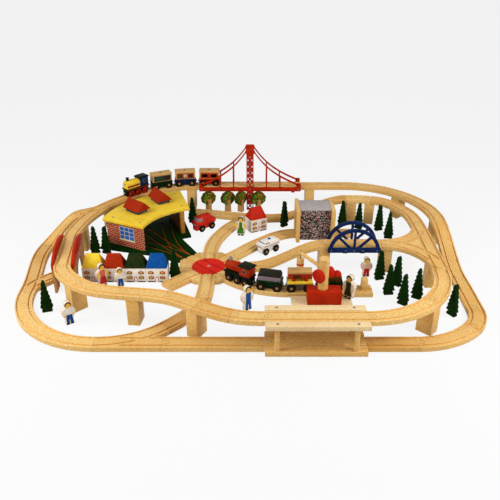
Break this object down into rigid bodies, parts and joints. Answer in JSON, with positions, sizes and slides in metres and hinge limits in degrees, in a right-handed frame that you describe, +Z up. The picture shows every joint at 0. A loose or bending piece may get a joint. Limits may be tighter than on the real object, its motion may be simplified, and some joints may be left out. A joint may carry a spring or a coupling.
{
  "type": "wooden train set",
  "caption": "Wooden railway on two levels with bridges, a turntable and shed, a crane, a station, houses, trains with turning wheels and road vehicles.",
  "frame": {"origin": "on the table under the middle of the set's bounding box", "axes": "+X to the right along the front track, +Y to the back, +Z up"},
  "size_m": [1.1304, 0.8252, 0.2],
  "materials": {
    "beech": "clear varnish",
    "red": "paint",
    "bright_red": "paint",
    "black": "paint",
    "yellow": "paint",
    "blue": "paint",
    "green": "paint",
    "white": "paint",
    "grey": "paint",
    "brick": "printed"
  },
  "bodies": {
    "layout": {"turntable_ring": "beech", "front_track": "beech", "right_track": "beech", "bridge_track": "beech", "left_track": "beech", "inner_track": "beech", "loop_track": "beech", "arch_track": "beech", "back_track": "beech", "tunnel_track": "beech", "siding_track": "beech", "suspension_bridge": "red", "arch_bridge": "blue", "tunnel": "grey", "station": "beech", "shed_base": "green", "shed_wall": "brick", "shed_roof": "yellow", "house_row": "white", "cottage": "white", "crane_base": "red", "fir_tree_right": "green", "fir_tree_left": "green"},
    "yellow_engine": {"yellow_engine": "yellow"},
    "yellow_engine_wheels_1": {"yellow_engine_wheels_1": "red"},
    "yellow_engine_wheels_2": {"yellow_engine_wheels_2": "red"},
    "yellow_engine_wheels_3": {"yellow_engine_wheels_3": "red"},
    "green_wagon": {"green_wagon": "green"},
    "green_wagon_wheels_1": {"green_wagon_wheels_1": "black"},
    "green_wagon_wheels_2": {"green_wagon_wheels_2": "black"},
    "blue_wagon": {"blue_wagon": "blue"},
    "blue_wagon_wheels_1": {"blue_wagon_wheels_1": "black"},
    "blue_wagon_wheels_2": {"blue_wagon_wheels_2": "black"},
    "red_wagon": {"red_wagon": "red"},
    "red_wagon_wheels_1": {"red_wagon_wheels_1": "black"},
    "red_wagon_wheels_2": {"red_wagon_wheels_2": "black"},
    "red_engine": {"red_engine": "red"},
    "red_engine_wheels_1": {"red_engine_wheels_1": "black"},
    "red_engine_wheels_2": {"red_engine_wheels_2": "black"},
    "red_engine_wheels_3": {"red_engine_wheels_3": "black"},
    "tender": {"tender": "black"},
    "tender_wheels_1": {"tender_wheels_1": "black"},
    "tender_wheels_2": {"tender_wheels_2": "black"},
    "flat_wagon": {"flat_wagon": "yellow", "cargo_crate": "red"},
    "flat_wagon_wheels_1": {"flat_wagon_wheels_1": "black"},
    "flat_wagon_wheels_2": {"flat_wagon_wheels_2": "black"},
    "barrel_wagon": {"barrel_wagon": "red"},
    "barrel_wagon_wheels_1": {"barrel_wagon_wheels_1": "black"},
    "barrel_wagon_wheels_2": {"barrel_wagon_wheels_2": "black"},
    "fire_truck": {"fire_truck": "bright_red"},
    "fire_truck_wheels_1": {"fire_truck_wheels_1": "black"},
    "fire_truck_wheels_2": {"fire_truck_wheels_2": "black"},
    "ambulance": {"ambulance": "white"},
    "ambulance_wheels_1": {"ambulance_wheels_1": "black"},
    "ambulance_wheels_2": {"ambulance_wheels_2": "black"},
    "turntable_disc": {"turntable_disc": "bright_red"},
    "crane_mast": {"crane_mast": "beech"},
    "crane_winder": {"crane_winder": "bright_red"},
    "crane_magnet": {"crane_magnet": "beech"}
  },
  "joints": [
    {"name": "yellow_engine_roll", "type": "hinge", "parent": "layout", "child": "yellow_engine", "pos_m": [-0.14634, 0.13045, 0.077], "axis": [0, 0, 1], "range_deg": [-3.44, 0.86]},
    {"name": "green_wagon_roll", "type": "hinge", "parent": "layout", "child": "green_wagon", "pos_m": [-0.14634, 0.13045, 0.077], "axis": [0, 0, 1], "range_deg": [-3.64, 1.06]},
    {"name": "blue_wagon_roll", "type": "hinge", "parent": "layout", "child": "blue_wagon", "pos_m": [-0.14634, 0.13045, 0.077], "axis": [0, 0, 1], "range_deg": [-3.64, 1.06]},
    {"name": "red_wagon_roll", "type": "slide", "parent": "layout", "child": "red_wagon", "axis": [-1, 0, 0], "range_m": [-0.0158, 0.00432]},
    {"name": "yellow_engine_wheels_1_spin", "type": "hinge", "parent": "yellow_engine", "child": "yellow_engine_wheels_1", "pos_m": [-0.34626, 0.28973, 0.0848], "axis": [0.7174, -0.6966, 0], "range_deg": [-84.49, 21.87]},
    {"name": "yellow_engine_wheels_2_spin", "type": "hinge", "parent": "yellow_engine", "child": "yellow_engine_wheels_2", "pos_m": [-0.32884, 0.30766, 0.0848], "axis": [0.7174, -0.6966, 0], "range_deg": [-84.49, 21.87]},
    {"name": "yellow_engine_wheels_3_spin", "type": "hinge", "parent": "yellow_engine", "child": "yellow_engine_wheels_3", "pos_m": [-0.31143, 0.3256, 0.0848], "axis": [0.7174, -0.6966, 0], "range_deg": [-84.49, 21.87]},
    {"name": "green_wagon_wheels_1_spin", "type": "hinge", "parent": "green_wagon", "child": "green_wagon_wheels_1", "pos_m": [-0.2762, 0.35036, 0.0858], "axis": [0.4395, -0.8983, 0], "range_deg": [-77.23, 20.06]},
    {"name": "green_wagon_wheels_2_spin", "type": "hinge", "parent": "green_wagon", "child": "green_wagon_wheels_2", "pos_m": [-0.24027, 0.36794, 0.0858], "axis": [0.4395, -0.8983, 0], "range_deg": [-77.23, 20.06]},
    {"name": "blue_wagon_wheels_1_spin", "type": "hinge", "parent": "blue_wagon", "child": "blue_wagon_wheels_1", "pos_m": [-0.20492, 0.37903, 0.0858], "axis": [0.1525, -0.9883, 0], "range_deg": [-77.23, 20.06]},
    {"name": "blue_wagon_wheels_2_spin", "type": "hinge", "parent": "blue_wagon", "child": "blue_wagon_wheels_2", "pos_m": [-0.16539, 0.38513, 0.0858], "axis": [0.1525, -0.9883, 0], "range_deg": [-77.23, 20.06]},
    {"name": "red_wagon_wheels_1_spin", "type": "hinge", "parent": "red_wagon", "child": "red_wagon_wheels_1", "pos_m": [-0.12837, 0.38545, 0.0858], "axis": [0, -1, 0], "range_deg": [-77.23, 20.06]},
    {"name": "red_wagon_wheels_2_spin", "type": "hinge", "parent": "red_wagon", "child": "red_wagon_wheels_2", "pos_m": [-0.08836, 0.38545, 0.0858], "axis": [0, -1, 0], "range_deg": [-77.23, 20.06]},
    {"name": "red_engine_roll", "type": "hinge", "parent": "layout", "child": "red_engine", "pos_m": [0.11319, 0.0476, 0.012], "axis": [0, 0, -1], "range_deg": [-2.87, 0.86]},
    {"name": "tender_roll", "type": "hinge", "parent": "layout", "child": "tender", "pos_m": [0.11319, 0.0476, 0.012], "axis": [0, 0, -1], "range_deg": [-3.07, 1.06]},
    {"name": "flat_wagon_roll", "type": "slide", "parent": "layout", "child": "flat_wagon", "axis": [-1, 0, 0], "range_m": [-0.0106, 0.00353]},
    {"name": "barrel_wagon_roll", "type": "slide", "parent": "layout", "child": "barrel_wagon", "axis": [-1, 0, 0], "range_m": [-0.0106, 0.00353]},
    {"name": "red_engine_wheels_1_spin", "type": "hinge", "parent": "red_engine", "child": "red_engine_wheels_1", "pos_m": [-0.02585, -0.1, 0.0198], "axis": [-0.5907, -0.8069, 0], "range_deg": [-56.11, 17.53]},
    {"name": "red_engine_wheels_2_spin", "type": "hinge", "parent": "red_engine", "child": "red_engine_wheels_2", "pos_m": [-0.00568, -0.11477, 0.0198], "axis": [-0.5907, -0.8069, 0], "range_deg": [-56.11, 17.53]},
    {"name": "red_engine_wheels_3_spin", "type": "hinge", "parent": "red_engine", "child": "red_engine_wheels_3", "pos_m": [0.01449, -0.12954, 0.0198], "axis": [-0.5907, -0.8069, 0], "range_deg": [-56.11, 17.53]},
    {"name": "tender_wheels_1_spin", "type": "hinge", "parent": "tender", "child": "tender_wheels_1", "pos_m": [0.04854, -0.1443, 0.0208], "axis": [-0.2241, -0.9746, 0], "range_deg": [-51.32, 16.1]},
    {"name": "tender_wheels_2_spin", "type": "hinge", "parent": "tender", "child": "tender_wheels_2", "pos_m": [0.08753, -0.15327, 0.0208], "axis": [-0.2241, -0.9746, 0], "range_deg": [-51.32, 16.1]},
    {"name": "flat_wagon_wheels_1_spin", "type": "hinge", "parent": "flat_wagon", "child": "flat_wagon_wheels_1", "pos_m": [0.11954, -0.1544, 0.0208], "axis": [0, -1, 0], "range_deg": [-51.32, 16.1]},
    {"name": "flat_wagon_wheels_2_spin", "type": "hinge", "parent": "flat_wagon", "child": "flat_wagon_wheels_2", "pos_m": [0.15954, -0.1544, 0.0208], "axis": [0, -1, 0], "range_deg": [-51.32, 16.1]},
    {"name": "barrel_wagon_wheels_1_spin", "type": "hinge", "parent": "barrel_wagon", "child": "barrel_wagon_wheels_1", "pos_m": [0.19154, -0.1544, 0.0208], "axis": [0, -1, 0], "range_deg": [-51.32, 16.1]},
    {"name": "barrel_wagon_wheels_2_spin", "type": "hinge", "parent": "barrel_wagon", "child": "barrel_wagon_wheels_2", "pos_m": [0.23154, -0.1544, 0.0208], "axis": [0, -1, 0], "range_deg": [-51.32, 16.1]},
    {"name": "fire_truck_roll", "type": "slide", "parent": "layout", "child": "fire_truck", "axis": [-0.766, -0.6428, 0], "range_m": [-0.012, 0.004]},
    {"name": "fire_truck_wheels_1_spin", "type": "hinge", "parent": "fire_truck", "child": "fire_truck_wheels_1", "pos_m": [-0.12913, 0.20388, 0.0105], "axis": [0.6428, -0.766, 0], "range_deg": [-66.48, 22.83]},
    {"name": "fire_truck_wheels_2_spin", "type": "hinge", "parent": "fire_truck", "child": "fire_truck_wheels_2", "pos_m": [-0.10155, 0.22702, 0.0105], "axis": [0.6428, -0.766, 0], "range_deg": [-66.48, 22.83]},
    {"name": "ambulance_roll", "type": "slide", "parent": "layout", "child": "ambulance", "axis": [-0.766, -0.6428, 0], "range_m": [-0.012, 0.012]},
    {"name": "ambulance_wheels_1_spin", "type": "hinge", "parent": "ambulance", "child": "ambulance_wheels_1", "pos_m": [0.05587, 0.05488, 0.0105], "axis": [0.6428, -0.766, 0], "range_deg": [-66.48, 66.48]},
    {"name": "ambulance_wheels_2_spin", "type": "hinge", "parent": "ambulance", "child": "ambulance_wheels_2", "pos_m": [0.08345, 0.07802, 0.0105], "axis": [0.6428, -0.766, 0], "range_deg": [-66.48, 66.48]},
    {"name": "turntable_turn", "type": "hinge", "parent": "layout", "child": "turntable_disc", "pos_m": [-0.08834, -0.03655, 0], "axis": [0, 0, 1], "continuous": true},
    {"name": "crane_slew", "type": "hinge", "parent": "layout", "child": "crane_mast", "pos_m": [0.18964, -0.2045, 0], "axis": [0, 0, 1], "range_deg": [-20, 20]},
    {"name": "crane_wind", "type": "hinge", "parent": "crane_mast", "child": "crane_winder", "pos_m": [0.18964, -0.2045, 0.084], "axis": [-0.6801, -0.7331, 0], "range_deg": [0, 114.6]},
    {"name": "magnet_lower", "type": "slide", "parent": "crane_mast", "child": "crane_magnet", "axis": [0, 0, -1], "range_m": [0, 0.0081]}
  ],
  "couplings": [
    {"joint": "green_wagon_roll", "follows": "yellow_engine_roll", "ratio": 1},
    {"joint": "blue_wagon_roll", "follows": "yellow_engine_roll", "ratio": 1},
    {"joint": "red_wagon_roll", "follows": "yellow_engine_roll", "m_per_rad": 0.255},
    {"joint": "yellow_engine_wheels_1_spin", "follows": "yellow_engine_roll", "ratio": 24.286},
    {"joint": "yellow_engine_wheels_2_spin", "follows": "yellow_engine_roll", "ratio": 24.286},
    {"joint": "yellow_engine_wheels_3_spin", "follows": "yellow_engine_roll", "ratio": 24.286},
    {"joint": "green_wagon_wheels_1_spin", "follows": "yellow_engine_roll", "ratio": 22.174},
    {"joint": "green_wagon_wheels_2_spin", "follows": "yellow_engine_roll", "ratio": 22.174},
    {"joint": "blue_wagon_wheels_1_spin", "follows": "yellow_engine_roll", "ratio": 22.174},
    {"joint": "blue_wagon_wheels_2_spin", "follows": "yellow_engine_roll", "ratio": 22.174},
    {"joint": "red_wagon_wheels_1_spin", "follows": "yellow_engine_roll", "ratio": 22.174},
    {"joint": "red_wagon_wheels_2_spin", "follows": "yellow_engine_roll", "ratio": 22.174},
    {"joint": "tender_roll", "follows": "red_engine_roll", "ratio": 1},
    {"joint": "flat_wagon_roll", "follows": "red_engine_roll", "m_per_rad": 0.202},
    {"joint": "barrel_wagon_roll", "follows": "red_engine_roll", "m_per_rad": 0.202},
    {"joint": "red_engine_wheels_1_spin", "follows": "red_engine_roll", "ratio": 19.238},
    {"joint": "red_engine_wheels_2_spin", "follows": "red_engine_roll", "ratio": 19.238},
    {"joint": "red_engine_wheels_3_spin", "follows": "red_engine_roll", "ratio": 19.238},
    {"joint": "tender_wheels_1_spin", "follows": "red_engine_roll", "ratio": 17.565},
    {"joint": "tender_wheels_2_spin", "follows": "red_engine_roll", "ratio": 17.565},
    {"joint": "flat_wagon_wheels_1_spin", "follows": "red_engine_roll", "ratio": 17.565},
    {"joint": "flat_wagon_wheels_2_spin", "follows": "red_engine_roll", "ratio": 17.565},
    {"joint": "barrel_wagon_wheels_1_spin", "follows": "red_engine_roll", "ratio": 17.565},
    {"joint": "barrel_wagon_wheels_2_spin", "follows": "red_engine_roll", "ratio": 17.565},
    {"joint": "fire_truck_wheels_1_spin", "follows": "fire_truck_roll", "rad_per_m": 95.238},
    {"joint": "fire_truck_wheels_2_spin", "follows": "fire_truck_roll", "rad_per_m": 95.238},
    {"joint": "ambulance_wheels_1_spin", "follows": "ambulance_roll", "rad_per_m": 95.238},
    {"joint": "ambulance_wheels_2_spin", "follows": "ambulance_roll", "rad_per_m": 95.238},
    {"joint": "magnet_lower", "follows": "crane_wind", "m_per_rad": 0.004}
  ]
}
